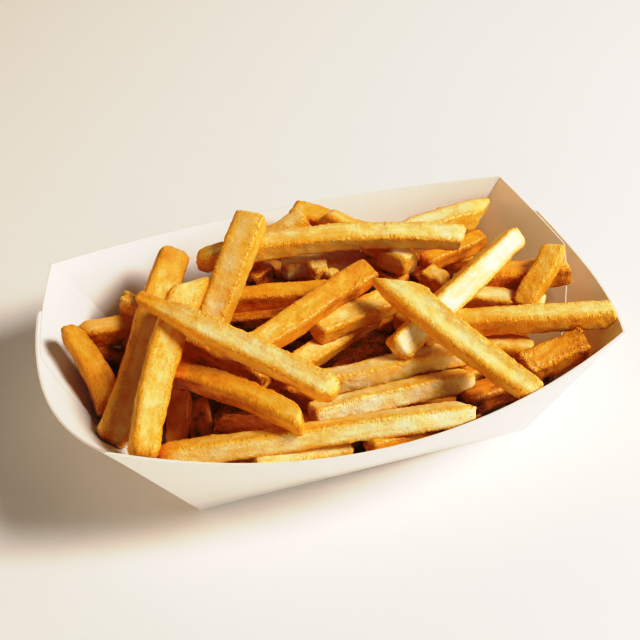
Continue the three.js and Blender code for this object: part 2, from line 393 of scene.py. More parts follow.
@dataclass(frozen=True)
class FriedPotato:
    """Crisp fried potato: creamy flesh with golden edges, browned ends and fine blisters."""

    cream: Colour = srgb(255, 241, 206)
    pale: Colour = srgb(255, 231, 176)
    flesh: Colour = srgb(255, 212, 130)
    golden: Colour = srgb(252, 186, 74)
    amber: Colour = srgb(230, 150, 42)
    brown: Colour = srgb(164, 98, 28)
    burnt: Colour = srgb(84, 36, 8)
    crust_light: Colour = srgb(253, 190, 66)
    crust: Colour = srgb(244, 168, 44)
    crust_dark: Colour = srgb(198, 124, 34)
    face_browning: float = 0.06
    edge_share: float = 0.8
    edge_from: float = 0.55
    edge_to: float = 0.95
    tip_browning: float = 0.05
    cloudiness: float = 0.14
    streakiness: float = 0.05
    graininess: float = 0.05
    crumbliness: Pair = (-0.16, 0.14)
    # glint: how far granule middles are lightened, partly the crust's paler granules, partly painted
    # highlight.
    glint: float = 0.25
    speck_strength: float = 0.75

    def material(self) -> bpy.types.Material:
        """Builds the material.

        Returns:
            A material that reads the attributes fry_place (millimetres along, across and up,
            different for each fry), fry_edge, fry_tip, fry_tone and fry_rough.
        """
        r = Recipe("fried_potato")
        place = r.attribute("fry_place", "Vector")
        edge, tip, tone, rough = (r.attribute("fry_" + name) for name in ("edge", "tip", "tone", "rough"))

        clouds = r.noise(r.scaled(place, (0.7, 1.0, 1.0)), 0.24, 3.0, 0.6)
        streaks = r.noise(r.scaled(place, (0.12, 1.0, 1.0)), 0.75, 2.0, 0.5)
        grain = r.noise(place, 1.5, 3.0, 0.65)
        fine = r.noise(place, 3.2, 2.0, 0.6)
        beads = r.cells(place, 1.3).outputs["Distance"]
        blisters = r.cells(r.scaled(place, (0.8, 1.0, 1.0)), 0.6).outputs["Distance"]
        blister = r.spread(blisters, 0.1, 0.7, 1.0, 0.0)

        worn = r.math("ADD", edge, r.spread(grain, 0.3, 0.7, -0.16, 0.16))
        band = r.spread(worn, self.edge_from, self.edge_to, 0.0, 1.0)
        fried = r.math("ADD", tone, r.math("MULTIPLY", r.math("MULTIPLY", edge, edge), self.face_browning))
        fried = r.math("ADD", fried, r.math("MULTIPLY", tip, self.tip_browning))
        for pattern, low, high, swing in (
            (clouds, 0.3, 0.7, self.cloudiness),
            (streaks, 0.3, 0.7, self.streakiness),
            (grain, 0.3, 0.7, self.graininess),
            (fine, 0.35, 0.65, self.graininess),
        ):
            fried = r.math("ADD", fried, r.spread(pattern, low, high, -swing, swing))
        fried = r.math("ADD", fried, r.math("MULTIPLY", rough, r.spread(fine, 0.35, 0.65, *self.crumbliness)))
        light = [(0.0, self.cream), (0.10, self.pale), (0.26, self.flesh), (0.46, self.golden)]
        dark = [(0.68, self.amber), (0.88, self.brown), (1.0, self.burnt)]
        colour = r.ramp(fried, light + dark)
        # Granule middles are lightened towards the pale crust: partly the crust's own paler granules, partly
        # painted highlight.
        glint = r.math("SUBTRACT", fried, r.spread(beads, 0.08, 0.35, self.glint, 0.0))
        crust = r.ramp(glint, [(0.1, self.crust_light), (0.6, self.crust), (1.0, self.crust_dark)])
        colour = r.mix(r.math("MULTIPLY", band, self.edge_share), colour, crust)

        specks = r.cells(place, 0.30)
        speck = r.math("LESS_THAN", specks.outputs["Distance"], r.spread(grain, 0.3, 0.7, 0.03, 0.085))
        draw = r.node("SeparateColor", Color=specks.outputs["Color"]).outputs[0]
        chosen = r.math("GREATER_THAN", draw, 0.5)
        marked = r.math("MULTIPLY", r.math("MULTIPLY", speck, chosen), self.speck_strength)
        colour = r.mix(marked, colour, self.burnt)

        bead_height = r.math("MULTIPLY", r.spread(beads, 0.05, 0.5, 1.0, 0.0), r.math("ADD", band, rough))
        granules = (bead_height, 0.0004, 0.85)
        relief = r.relief((grain, 0.00035, 0.75), (blister, 0.0002, 0.35), granules, (fine, 0.00015, 0.7))
        return r.finish(
            Base_Color=colour,
            Roughness=r.spread(grain, 0.3, 0.7, 0.34, 0.52),
            Subsurface_Weight=0.3,
            Subsurface_Radius=(1.0, 0.7, 0.35),
            Subsurface_Scale=0.001,
            Specular_IOR_Level=0.5,
            Coat_Weight=0.22,
            Coat_Roughness=0.26,
            Normal=relief,
        )


@dataclass(frozen=True)
class TrayBoard:
    """White food-tray board: matt, faintly fibred, creamy at its cuts, tan with painted bounce light."""

    face: Colour = srgb(248, 244, 239)
    fibre: Colour = srgb(242, 236, 228)
    cut: Colour = srgb(226, 214, 198)
    # Painted warm bounce light: tan for the board's shaded inside, where the fries throw their colour.
    painted_bounce_tan: Colour = srgb(240, 208, 160)

    def material(self) -> bpy.types.Material:
        """Builds the material.

        Returns:
            A material that reads the attributes board_place (millimetres), board_cut and
            board_painted_bounce, the share of painted warm bounce light.
        """
        r = Recipe("tray_board")
        place = r.attribute("board_place", "Vector")
        cut = r.attribute("board_cut")
        painted_bounce_share = r.attribute("board_painted_bounce")
        fibres = r.noise(r.scaled(place, (0.35, 1.6, 1.6)), 1.8, 3.0, 0.6)
        cloud = r.noise(place, 0.05, 2.0, 0.5)
        grain = r.noise(place, 3.2, 2.0, 0.6)
        colour = r.mix(r.spread(fibres, 0.35, 0.68, 0.0, 0.7), self.face, self.fibre)
        colour = r.mix(r.spread(cloud, 0.4, 0.65, 0.0, 0.35), colour, self.fibre)
        colour = r.mix(r.math("MULTIPLY", painted_bounce_share, r.spread(cloud, 0.35, 0.65, 0.85, 1.15)), colour, self.painted_bounce_tan)
        colour = r.mix(r.math("MULTIPLY", cut, r.spread(grain, 0.3, 0.7, 0.6, 1.0)), colour, self.cut)
        return r.finish(
            Base_Color=colour,
            Roughness=r.spread(fibres, 0.3, 0.7, 0.55, 0.72),
            Subsurface_Weight=0.12,
            Subsurface_Radius=(1.0, 0.8, 0.6),
            Subsurface_Scale=0.001,
            Specular_IOR_Level=0.35,
            Normal=r.relief((fibres, 0.00008, 0.35), (grain, 0.00005, 0.35)),
        )


@dataclass(frozen=True)
class PaleFloor:
    """The plain surface that the tray stands on."""

    colour: Colour = srgb(244, 238, 233)
    dust: Colour = (0.7, 0.68, 0.65)

    def material(self) -> bpy.types.Material:
        """Builds the material.

        Returns:
            A material with a faint dust in it.
        """
        r = Recipe("pale_floor")
        place = r.node("TexCoord").outputs["Object"]
        grain = r.noise(place, 90.0, 3.0, 0.6)
        colour = r.mix(r.spread(grain, 0.3, 0.7, 0.0, 0.04), self.colour, self.dust)
        return r.finish(Base_Color=colour, Roughness=0.75, Specular_IOR_Level=0.2)


# -------- the tray


@dataclass(frozen=True)
class TrayWall:
    """Which of the four walls: a long one or an end, and on which side."""

    is_long: bool
    sign: int


@dataclass
class Tray:
    """A boat-shaped tray folded from one board, in millimetres."""

    base_half_length: float = 59.0
    base_half_width: float = 42.0
    corner_half_length: float = 88.0
    corner_half_width: float = 49.3
    corner_height: float = 43.3
    side_bulge: float = 18.0
    side_dip: float = 8.0
    end_bulge: float = 12.0
    end_dip: float = 11.0
    board: float = 0.45
    level_inset_side: float = 1.25
    level_inset_end: float = 1.6
    foot_inset: float = 0.5
    inner_flap_at_rim: float = 0.28
    inner_flap_slant: float = 1.83
    outer_flap_at_rim: float = 0.63
    outer_flap_slant: float = 1.8
    outer_flap_rise: float = 0.6
    inner_flap_board: float = 0.22
    flap_overlap: float = 0.02
    wave: float = 0.25
    wave_lean_side: float = -0.4
    wave_lean_end: float = -0.8
    food_gap: float = 1.5
    reach_past_rim: float = 1.6
    grain_shift: float = 40.0
    # Painted warm bounce light on the inner face of each end: strong on the right end, which lies in shade,
    # faint on the left.
    painted_bounce_at_right: float = 0.75
    painted_bounce_elsewhere: float = 0.04
    steps_along: int = 72
    steps_up: int = 20
    steps_through: int = 2
    base_steps: tuple[int, int] = (40, 28)
    wall_rounds: int = 8
    press_rounds: int = 3
    press_step: float = 0.2
    seed: int = 5

    def __post_init__(self) -> None:
        """Sets up the board's slight waviness."""
        self.noise = LatticeNoise(self.seed)

    def form(self, is_long: bool) -> tuple[Pair, Pair, float, float]:
        """The outer form of the long walls or of the ends.

        Args:
            is_long: whether the walls are the long ones.

        Returns:
            How far the foot's corner is from the middle outwards and along the wall, the same of
            the rim's corner, and by how much the rim bulges and dips halfway.
        """
        foot = self.base_half_length, self.base_half_width
        corner = self.corner_half_length, self.corner_half_width
        if is_long:
            return foot[::-1], corner[::-1], self.side_bulge, self.side_dip
        return foot, corner, self.end_bulge, self.end_dip

    def point(self, wall: TrayWall, t: Array, v: Array, inset: float) -> Array:
        """Points of a wall.

        Args:
            wall: the wall.
            t: from -1 to 1 along it, with +X or +Y.
            v: from 0 at its foot to 1 at its rim.
            inset: how deep under the board's outer face.

        Returns:
            (..., 3) places.
        """
        (foot_out, foot_along), (rim_out, rim_along), bulge, dip = self.form(wall.is_long)
        out = int(wall.is_long)
        along = 1 - out
        insets = self.level_inset_end, self.level_inset_side
        lean = (self.wave_lean_end, self.wave_lean_side)[out]
        arch = 1.0 - t * t
        foot, rim, outward = np.zeros((*t.shape, 3)), np.zeros((*t.shape, 3)), np.zeros(3)
        foot[..., out] = wall.sign * (foot_out - self.foot_inset * inset)
        foot[..., along] = t * (foot_along - self.foot_inset * inset)
        foot[..., 2] = inset
        rim[..., out] = wall.sign * (rim_out - insets[out] * inset + bulge * arch)
        rim[..., along] = t * (rim_along - insets[along] * inset)
        rim[..., 2] = self.corner_height - dip * arch
        key = np.stack([t * 2.1 + 7.0 * wall.is_long, v * 1.3 + 3.0 * wall.sign, np.full_like(t, 0.5)], -1)
        ripple = self.wave * self.noise(key) * arch * v * (1.0 - 0.4 * v)
        outward[out], outward[2] = wall.sign, lean
        return foot + (rim - foot) * v[..., None] + ripple[..., None] * outward

    def _outer_height(self, is_long: bool, out: Array, along: Array) -> Array:
        """The heights of the outer face of the long walls or of the ends.

        Args:
            is_long: whether the walls are the long ones.
            out: how far each point of the plan is from the middle towards the wall.
            along: how far it is from the middle along the wall.

        Returns:
            Heights, 0 over the flat base.
        """
        (foot_out, foot_along), (rim_out, rim_along), bulge, dip = self.form(is_long)
        rise = np.zeros_like(out)
        for _ in range(self.wall_rounds):
            t = np.clip(along / (foot_along + (rim_along - foot_along) * rise), 0, 1)
            reach = rim_out - foot_out + bulge * (1 - t * t)
            rise = np.clip((out - foot_out) / reach, 0, self.reach_past_rim)
        return rise * (self.corner_height - dip * (1 - t * t))

    def outer_height(self, places: Array) -> Array:
        """The height of the board's outer face at the places' points of the plan."""
        x, y = np.abs(places[..., 0]), np.abs(places[..., 1])
        return np.maximum(self._outer_height(True, y, x), self._outer_height(False, x, y))

    def kept_inside(self, places: Array) -> Array:
        """Presses points that would cross the board back to its inner face.

        Args:
            places: (n, 3) points of the food.

        Returns:
            The same points, none of them outside.
        """
        for _ in range(self.press_rounds):
            depth = self.outer_height(places) + self.food_gap - places[:, 2]
            slopes = []
            for shift in np.eye(2, 3) * self.press_step:
                rise = self.outer_height(places + shift) - self.outer_height(places - shift)
                slopes.append(rise / (2.0 * self.press_step))
            push = np.clip(depth, 0.0, None) / (1.0 + slopes[0] ** 2 + slopes[1] ** 2)
            places = places + np.stack([-slopes[0], -slopes[1], np.ones_like(push)], -1) * push[:, None]
        return places

    def _slab(self, parts: MeshParts, grids: list[Array], wall_key: float, painted_bounce_share: float = 0.0) -> None:
        """Adds the closed body between sheets that lie one behind the other.

        Args:
            parts: the mesh in the making.
            grids: (rows, columns, 3) sheets, the outermost first.
            wall_key: shifts the grain, so that walls differ.
            painted_bounce_share: how far the innermost sheet is tinted tan as painted warm bounce light from
                the fries, from 0 to 1.
        """
        stack = np.stack(grids)
        _, rows, columns, _ = stack.shape
        number = np.arange(stack.size // 3).reshape(stack.shape[:3])
        faces = quads(number[0]) + quads(number[-1], True)
        faces += quads(number[:, 0], True) + quads(number[:, -1])
        faces += quads(number[:, :, 0]) + quads(number[:, :, -1], True)
        middle = stack.reshape(-1, 3)
        a, b, c = middle[faces[0][:3]]
        outward = stack[0, rows // 2, columns // 2] - stack[-1, rows // 2, columns // 2]
        if np.dot(np.cross(b - a, c - a), outward) < 0:
            faces = [face[::-1] for face in faces]
        cut, painted_bounce_sheets = np.zeros(stack.shape[:3]), np.zeros(stack.shape[:3])
        cut[1:-1] = 1.0
        painted_bounce_sheets[-1] = painted_bounce_share
        place = middle + np.array([wall_key * self.grain_shift, 0.0, 0.0])
        parts.add(middle, faces, board_place=place, board_cut=cut.ravel(), board_painted_bounce=painted_bounce_sheets.ravel())

    def _sheets(self, wall: TrayWall, t: Array, v: Array, first: float, last: float) -> list[Array]:
        """The stacked sheets of one layer of board, between two depths under the tray's outer face."""
        return [self.point(wall, t, v, depth) for depth in np.linspace(first, last, self.steps_through + 2)]

    def build(self) -> None:
        """Builds the board: a base, two long walls and two flaps on each end."""
        parts = MeshParts()
        up = np.linspace(0.0, 1.0, self.steps_up + 1)
        t, v = np.meshgrid(np.linspace(-1.0, 1.0, self.steps_along + 1), up)
        for key, sign in enumerate((-1, 1)):
            self._slab(parts, self._sheets(TrayWall(True, sign), t, v, 0.0, self.board), float(key))
        share, v = np.meshgrid(np.linspace(0.0, 1.0, self.steps_along * 2 // 3 + 1), up)
        for key, sign in enumerate((-1, 1)):
            wall = TrayWall(False, sign)
            outer_end = np.minimum(1.0, self.outer_flap_at_rim + self.outer_flap_slant * (1.0 - v))
            outer = -1.0 + (outer_end + 1.0) * share
            rise = 1.0 + self.outer_flap_rise / self.corner_height * smoothstep(-1.0, 0.0, outer)
            # The right end's shaded inside takes the painted warm bounce light.
            painted_bounce_share = self.painted_bounce_at_right if sign > 0 else self.painted_bounce_elsewhere
            self._slab(parts, self._sheets(wall, outer, v * rise, 0.0, self.board), 2.0 + key, painted_bounce_share)
            inner_end = np.maximum(-1.0, self.inner_flap_at_rim - self.inner_flap_slant * (1.0 - v))
            inner = inner_end + (1.0 - inner_end) * share
            under = self.board * (1.0 - self.flap_overlap)
            sheets = self._sheets(wall, inner, v, under, under + self.inner_flap_board)
            self._slab(parts, sheets, 4.0 + key, painted_bounce_share)
        x, y = np.meshgrid(
            np.linspace(-self.base_half_length, self.base_half_length, self.base_steps[0] + 1),
            np.linspace(-self.base_half_width, self.base_half_width, self.base_steps[1] + 1),
        )
        depths = np.linspace(0.0, self.board, self.steps_through + 2)
        self._slab(parts, [np.stack([x, y, np.full_like(x, depth)], -1) for depth in depths], 6.0)
        dress(parts.build("tray", TrayBoard().material(), smooth_below=30.0), "board", "carton")


# -------- the fries


class Cut(Enum):
    """How a fry ends: lean across, lean up, share of width left at the tip, taper length, roughness."""

    SQUARE = (0.0, 0.0, 0.96, 3.0, 0.3)
    LEFT = (-0.45, 0.0, 0.9, 4.0, 0.3)
    RIGHT = (0.45, 0.0, 0.9, 4.0, 0.3)
    FAR_LEFT = (-0.95, 0.1, 0.92, 4.0, 0.4)
    FAR_RIGHT = (0.95, 0.1, 0.92, 4.0, 0.4)
    SLIVER = (1.5, 0.4, 0.85, 6.0, 0.4)
    LOW = (0.0, -0.6, 0.92, 4.0, 0.3)
    ROUGH = (0.1, -0.15, 0.97, 3.0, 1.0)
    ROUND = (0.0, 0.0, 0.72, 5.0, 0.35)
    POINTED = (0.2, 0.2, 0.42, 13.0, 0.4)
    DRAWN = (0.0, 0.1, 0.45, 30.0, 0.4)
    KNOB = (-0.1, 0.1, 1.06, 5.0, 1.2)


@dataclass(frozen=True)
class Fry:
    """One stick of fried potato, in millimetres.

    The middles of its two ends, its section, by how many degrees its top leans to the right of its
    direction, how far its middle bows to the left and upwards, how far it is fried from 0 to 1, its
    two cuts, how far it turns about its length on the way, how far it swings like an S, how deep
    a groove its top has, how rough its skin is, how wide its two ends are against its middle, by
    how much more its far end is fried than its near one, and its sides than its top. The tones
    from fried, shift and sides are partly painted light: they darken fries and ends that lie in
    shade, lighten some that the lamps leave in shade, and paint shade and bounce on the side faces.
    """

    start: Point
    end: Point
    width: float
    thick: float
    roll: float = 0.0
    bow: Pair = (0.0, 0.0)
    fried: float = 0.4
    cuts: tuple[Cut, Cut] = (Cut.SQUARE, Cut.SQUARE)
    twist: float = 0.0
    swing: float = 0.0
    groove: float = 0.0
    rough: float = 0.0
    flare: Pair = (1.0, 1.0)
    shift: float = 0.0
    sides: float = 0.16


S, L, R, W = Cut.SQUARE, Cut.LEFT, Cut.RIGHT, Cut.LOW
X, O, P, K = Cut.ROUGH, Cut.ROUND, Cut.POINTED, Cut.KNOB
A, B, D, V = Cut.FAR_LEFT, Cut.FAR_RIGHT, Cut.DRAWN, Cut.SLIVER

# Painted light in the tables: fried and shift darken fries deep in the heap and ends in the shade of others
# as painted shade, and lighten some fries that the lamps leave in shade as painted light; negative sides
# lighten shaded side faces the same way.
DEEP_FRIES = [
    Fry((-83, 19, 25), (-62, 11, 17), 8, 8, fried=0.72),
    Fry((-84, 20, 32), (-57, 29, 23), 7.5, 7.5, fried=0.48, cuts=(O, X), flare=(1.0, 1.3)),
    Fry((-50, -8, 15), (-53, -31, 14), 8, 8, 10, fried=0.84, cuts=(S, O)),
    Fry((-56, -9, 23), (-62, -26, 14), 7.5, 7.5, fried=0.50, cuts=(S, O)),
    Fry((33, -43, 22), (66, -38, 21), 8, 8, fried=0.77),
    Fry((-14, 55, 22), (4, 33, 23), 7, 7, fried=0.62),
    Fry((-47, -26, 19), (-24, -43, 24), 8, 8, fried=0.58, cuts=(X, S), rough=0.4),
    Fry((-52, 18, 26), (-28, -20, 31), 8, 8, fried=0.52, rough=0.3),
    Fry((41, -17, 26), (64, -32, 26), 8, 8, fried=0.34),
    Fry((-11, -55, 27), (-43, -54, 28), 7, 7, -24, fried=0.20, sides=0.0),
    Fry((-7, -59, 30), (26, -57, 26), 7, 7, fried=0.42),
    Fry((-33, 21, 24), (-6, 14, 26), 7, 7, fried=0.72),
]
BACK_FRIES = [
    Fry((-88, 19, 38), (-80, -12, 23), 9, 8, 4, (2, 0), 0.54, (O, S), flare=(0.65, 1.1), shift=0.22),
    Fry((-66, 33, 33), (-49, 21, 27), 6.5, 6.5, fried=0.45, cuts=(K, S), rough=0.7),
    Fry((-5, 37, 30), (25, 35, 28), 7, 7, fried=0.10, sides=-0.04),
    Fry((74, 33, 28), (47, 27, 26), 6.5, 6.5, fried=0.54),
    Fry((51, 6, 26), (78, -12, 28), 7, 7, fried=0.08),
    Fry((-33, 25, 31), (12, 15, 31), 7.5, 7.5, fried=0.48),
    Fry((41, 25, 29), (31, 47, 29), 8, 8, 15, fried=0.08, cuts=(X, S), sides=0.0),
    Fry((76, 39, 35), (38, 31, 36), 9, 8, 0, (-2, 1), 0.22, (V, S)),
    Fry((4, 55, 42), (31, 37, 35), 7.5, 7.5, 15, fried=0.44, cuts=(X, S)),
    Fry((13, 44, 44), (33, 27, 37), 7.5, 7.5, -15, fried=0.44, cuts=(W, S)),
    Fry((7, 46, 44), (-22, 39, 35), 7.5, 7.5, fried=0.34, cuts=(X, S)),
    Fry((55, 4, 33), (91, -3, 35), 8.5, 8.5, fried=0.58, cuts=(K, X), rough=0.25, shift=-0.2),
]
MIDDLE_FRIES = [
    Fry((-23, -21, 33), (19, 4, 27), 7.5, 6.5, 18, fried=0.26, cuts=(O, S), shift=-0.2),
    Fry((-8, -10, 38), (31, 2, 36), 8, 7, 12, fried=0.34, rough=0.3),
    Fry((-13, -26, 29), (44, -29, 31), 7.5, 7.5, -10, fried=0.21, sides=-0.03),
    Fry((-20, -42, 31), (39, -37, 26), 7, 7, -22, (1, 0), 0.25, (S, O), sides=-0.09),
    Fry((56, -41, 29), (79, -39, 32), 9, 9, 10, fried=0.54, cuts=(K, K), rough=0.4, shift=0.2),
    Fry((-37, 37, 41), (58, 17, 43), 7.5, 7.5, 12, (3.5, 2.5), 0.25, (O, L), 30, shift=-0.22, sides=-0.03),
    Fry((85, -2, 46), (68, -14, 31), 7.5, 7, -2, fried=0.38, cuts=(L, S)),
    Fry((37, -16, 34), (93, -34, 38), 8, 7.5, fried=0.34, cuts=(O, X), rough=0.1, shift=-0.20),
    Fry((-43, 45, 41), (-83, -28, 26), 11, 8, -24, fried=0.34, cuts=(O, O), swing=0.8, shift=-0.20),
    Fry((-15, 40, 54), (-42, 7, 31), 9, 8, 0, fried=0.29, flare=(1.25, 1.05)),
]
TOP_FRIES = [
    Fry((18, 7, 45), (-36, -20, 44), 8.5, 7.5, -14, fried=0.49, cuts=(X, S), rough=0.2, shift=-0.30),
    Fry((75, 8, 47), (15, -27, 37), 8.5, 7, -44, fried=0.07, cuts=(O, S), flare=(0.94, 1.1), sides=0.36),
    Fry((-71, -45, 32), (26, -61, 36), 7, 7, -22, (0, 0), 0.42, (O, B), swing=0.7, shift=-0.18, sides=-0.20),
    Fry((-65, -8, 35), (-27, -54, 41), 7.5, 7.5, 8, (2.5, 1.5), 0.53, (S, R), shift=-0.28),
    Fry((-45, 15, 48), (-77, -50, 38), 10.6, 8, -20, (-2.4, 0), 0.33, (A, O), flare=(1.06, 0.82)),
    Fry((22, -8, 49), (49, -61, 38), 8, 6.5, 12, (-1.3, 0), 0.30, (V, L), 0, 0, 0.6, flare=(1.4, 1.0)),
    Fry((-64, 8, 54), (-14, -49, 46), 8, 7.5, 20, fried=0.24, cuts=(D, O)),
]
BROKEN_BITS = [
    Fry((31, 29, 34), (38.4, 19, 34.5), 8.5, 7.5, -8, fried=0.30, sides=0.0),
    Fry((26, 32, 27), (35.6, 17.5, 26), 8, 7, fried=0.60),
    Fry((42.8, 16.5, 31), (48.4, 7.8, 30), 7, 6.5, fried=0.40, cuts=(X, X), rough=0.3),
    Fry((2.8, 28.6, 32), (8.9, 28.4, 32), 7, 6.5, fried=0.26, cuts=(K, K), rough=0.2),
    Fry((7.3, 22.6, 33), (11.8, 25.5, 33), 4.5, 4.5, fried=0.18, cuts=(O, O)),
    Fry((26, -25.3, 36), (30.5, -24.1, 36), 4.5, 4, fried=0.06, cuts=(P, X)),
    Fry((-43, 15.7, 32), (-33.6, 30.1, 34), 7, 7, fried=0.56),
    Fry((50.1, 1, 31), (71, -11.5, 30.5), 8, 6, fried=0.16, cuts=(S, O)),
    Fry((-69, 20.5, 24), (-62, 14.5, 24), 7, 7, fried=0.60, cuts=(O, O)),
    Fry((-19, 35.1, 28), (-9.8, 40.1, 29), 7.5, 7.5, fried=0.62, cuts=(X, X)),
]


@dataclass
class Course:
    """How one fry runs: its length, its rings' distances from its start and how far the end rings
    are drawn in, its direction, and for each ring the line's place, the right side and the top."""

    length: float
    along: Array
    inset: Array
    axis: Array
    line: Array
    right: Array
    top: Array

    @property
    def share(self) -> Array:
        """How far along each ring is, from 0 to 1."""
        return self.along / self.length

    @property
    def from_tip(self) -> Array:
        """Each ring's distance from the nearer tip."""
        return np.minimum(self.along, self.length - self.along)


@dataclass
class Girth:
    """What the cuts make of a fry, for each ring: half its width and thickness, how rough it is,
    how much thinner than its middle, and how far it leans along for each millimetre across and up."""

    half_width: Array
    half_thick: Array
    roughness: Array
    thin: Array
    lean_across: Array
    lean_up: Array


@dataclass
class FryShaper:
    """Turns sticks into meshes with bowed lines, soft edges, blisters and cut ends.

    Each kind of relief, from lumps to granules, is its greatest height in millimetres and how many
    of its waves fit in one. For unevenness and tone_spread the first number is a share instead.
    Squareness is a range, lean_reach how far back a straight cut's lean reaches and how much more
    a slanted one's, and groove_place the groove's middle and breadth as shares of half the width.
    """

    tray: Tray
    around: int = 44
    spacing: float = 0.65
    end_round: float = 1.3
    plump: float = 1.06
    twist_spread: float = 3.0
    swing_spread: float = 0.25
    squareness: Pair = (4.2, 6.5)
    key_range: float = 400.0
    unevenness: Pair = (0.06, 0.07)
    lean_reach: Pair = (4.0, 5.0)
    rough_reach: float = 2.2
    face_from: float = 0.9
    hollow: float = 0.05
    groove_place: Pair = (-0.1, 0.38)
    cap_sizes: Pair = (0.72, 0.42)
    lumps: Pair = (0.30, 0.16)
    knobs: Pair = (0.135, 0.45)
    pimples: Pair = (0.13, 0.95)
    crumbs: Pair = (0.42, 0.6)
    edge_dents: Pair = (0.10, 1.25)
    granules: Pair = (0.46, 1.15)
    thin_tone: float = 0.45
    side_tone_spread: float = 0.03
    tone_spread: Pair = (0.05, 0.05)
    tip_reach: float = 1.6
    seed: int = 11

    def __post_init__(self) -> None:
        """Sets up the noises and the random draws."""
        self.broad = LatticeNoise(self.seed)
        self.small = LatticeNoise(self.seed + 1)
        self.draws = np.random.default_rng(self.seed)

    def _stations(self, length: float) -> tuple[Array, Array]:
        """Where a fry's rings are, closer together at its rounded ends.

        Args:
            length: the fry's length.

        Returns:
            The rings' distances from its start, and how far each is drawn in to its line.
        """
        arc = np.radians([0.0, 25.0, 50.0, 72.0])
        rounded = self.end_round * (1.0 - np.cos(arc))
        drawn = self.end_round * (1.0 - np.sin(arc))
        body = np.linspace(self.end_round, length - self.end_round, max(6, int(length / self.spacing)))
        along = np.concatenate([rounded, body, length - rounded[::-1]])
        inset = np.concatenate([drawn, np.zeros(len(body)), drawn[::-1]])
        return along, inset

    def _course(self, fry: Fry) -> Course:
        """Draws the twist and the swing of a fry and works out how it runs.

        Args:
            fry: the stick.

        Returns:
            Its course.
        """
        start, end = np.array(fry.start, float), np.array(fry.end, float)
        length = float(np.linalg.norm(end - start))
        axis = (end - start) / length
        level_right = unit(np.cross(axis, UP))
        level_top = np.cross(level_right, axis)
        along, inset = self._stations(length)
        share = along / length
        twist = fry.twist + self.draws.normal(0.0, self.twist_spread)
        lean = np.radians(fry.roll + twist * (share - 0.5))[:, None]
        right = level_right * np.cos(lean) - level_top * np.sin(lean)
        top = level_top * np.cos(lean) + level_right * np.sin(lean)
        bow = (4.0 * share * (1.0 - share))[:, None]
        line = start + axis * along[:, None] - level_right * fry.bow[0] * bow + UP * fry.bow[1] * bow
        swing = fry.swing + self.draws.normal(0.0, self.swing_spread)
        line = line + level_right * (swing * np.sin(share * math.tau) * np.sin(share * math.pi))[:, None]
        return Course(length, along, inset, axis, line, right, top)

    def _section(self) -> tuple[Array, Array, Array]:
        """Draws how square a fry is, and goes once round it.

        Returns:
            For each point of a ring, how far it is across and up as shares of half the width and
            half the thickness, and how near to an edge, from 0 to 1.
        """
        angle = (np.arange(self.around) + 0.5) * math.tau / self.around
        square = self.draws.uniform(*self.squareness)
        reach = (np.abs(np.cos(angle)) ** square + np.abs(np.sin(angle)) ** square) ** (-1.0 / square)
        across, height = reach * np.cos(angle), reach * np.sin(angle)
        corner = 0.5 ** (1.0 / square)
        return across, height, np.minimum(np.minimum(np.abs(across), np.abs(height)) / corner, 1.0)

    def _girth(self, fry: Fry, course: Course, place_key: Array) -> Girth:
        """Works out what the fry's section and its two cuts make of each ring.

        Args:
            fry: the stick.
            course: how it runs.
            place_key: where in the noise this fry lies.

        Returns:
            Its girth.
        """
        along, level = course.along, np.ones_like(course.along)
        uneven, waves = self.unevenness
        wobble = np.stack([along * waves, 0.0 * along, 0.0 * along], -1) + place_key
        half_width = fry.width * self.plump / 2.0 * level
        half_thick = fry.thick * self.plump / 2.0 * level
        half_width *= fry.flare[0] + (fry.flare[1] - fry.flare[0]) * course.share
        half_width *= 1.0 + uneven * self.broad(wobble)
        half_thick *= 1.0 + uneven * self.broad(wobble + 31.7)
        girth = Girth(half_width, half_thick, fry.rough * level, 0.0 * level, 0.0 * level, 0.0 * level)
        for from_tip, cut, sign in ((along, fry.cuts[0], -1.0), (course.length - along, fry.cuts[1], 1.0)):
            lean_side, lean_top, left, taper, rough = cut.value
            narrowing = 1.0 - (1.0 - left) * (1.0 - smoothstep(0.0, taper, from_tip)) ** 1.5
            girth.half_width *= narrowing
            girth.half_thick *= narrowing
            girth.thin += 1.0 - np.minimum(narrowing, 1.0)
            lean_reach = self.lean_reach[0] + self.lean_reach[1] * abs(lean_side)
            near = np.clip(1.0 - from_tip / lean_reach, 0.0, 1.0)
            girth.lean_across += sign * lean_side * near
            girth.lean_up += sign * lean_top * near
            girth.roughness += rough * np.exp(-from_tip / self.rough_reach)
        return girth

    def _skin(
        self, fry: Fry, course: Course, girth: Girth, across: Array, height: Array
    ) -> tuple[Array, Array]:
        """Lays the rings of a fry's smooth skin.

        Args:
            fry: the stick.
            course: how it runs.
            girth: what its cuts make of it.
            across: how far each point of a ring is across.
            height: how far it is up.

        Returns:
            (rings, around, 3) places, and the same points as millimetres along, across and up.
        """
        inner_width = (girth.half_width - course.inset)[:, None]
        inner_thick = (girth.half_thick - course.inset)[:, None]
        side = across * inner_width
        high = height * inner_thick
        sink = self.hollow * (1.0 - np.abs(across)) ** 0.5 * np.sign(height) * inner_thick
        high = high - sink * (np.abs(height) > self.face_from)
        if fry.groove:
            place, width = self.groove_place
            dip = np.exp(-((across - place) / width) ** 2) * (height > 0.8)
            middle = smoothstep(0.1, 0.4, course.share) * smoothstep(1.0, 0.75, course.share)
            high = high - fry.groove * dip * middle[:, None]
        along = course.along[:, None]
        far = along + girth.lean_across[:, None] * side + girth.lean_up[:, None] * high
        points = course.line[:, None, :] + course.right[:, None, :] * side[..., None]
        points = points + course.top[:, None, :] * high[..., None]
        points = points + course.axis * (far - along)[..., None]
        return points, np.stack([far + 0.0 * side, side, high], -1)

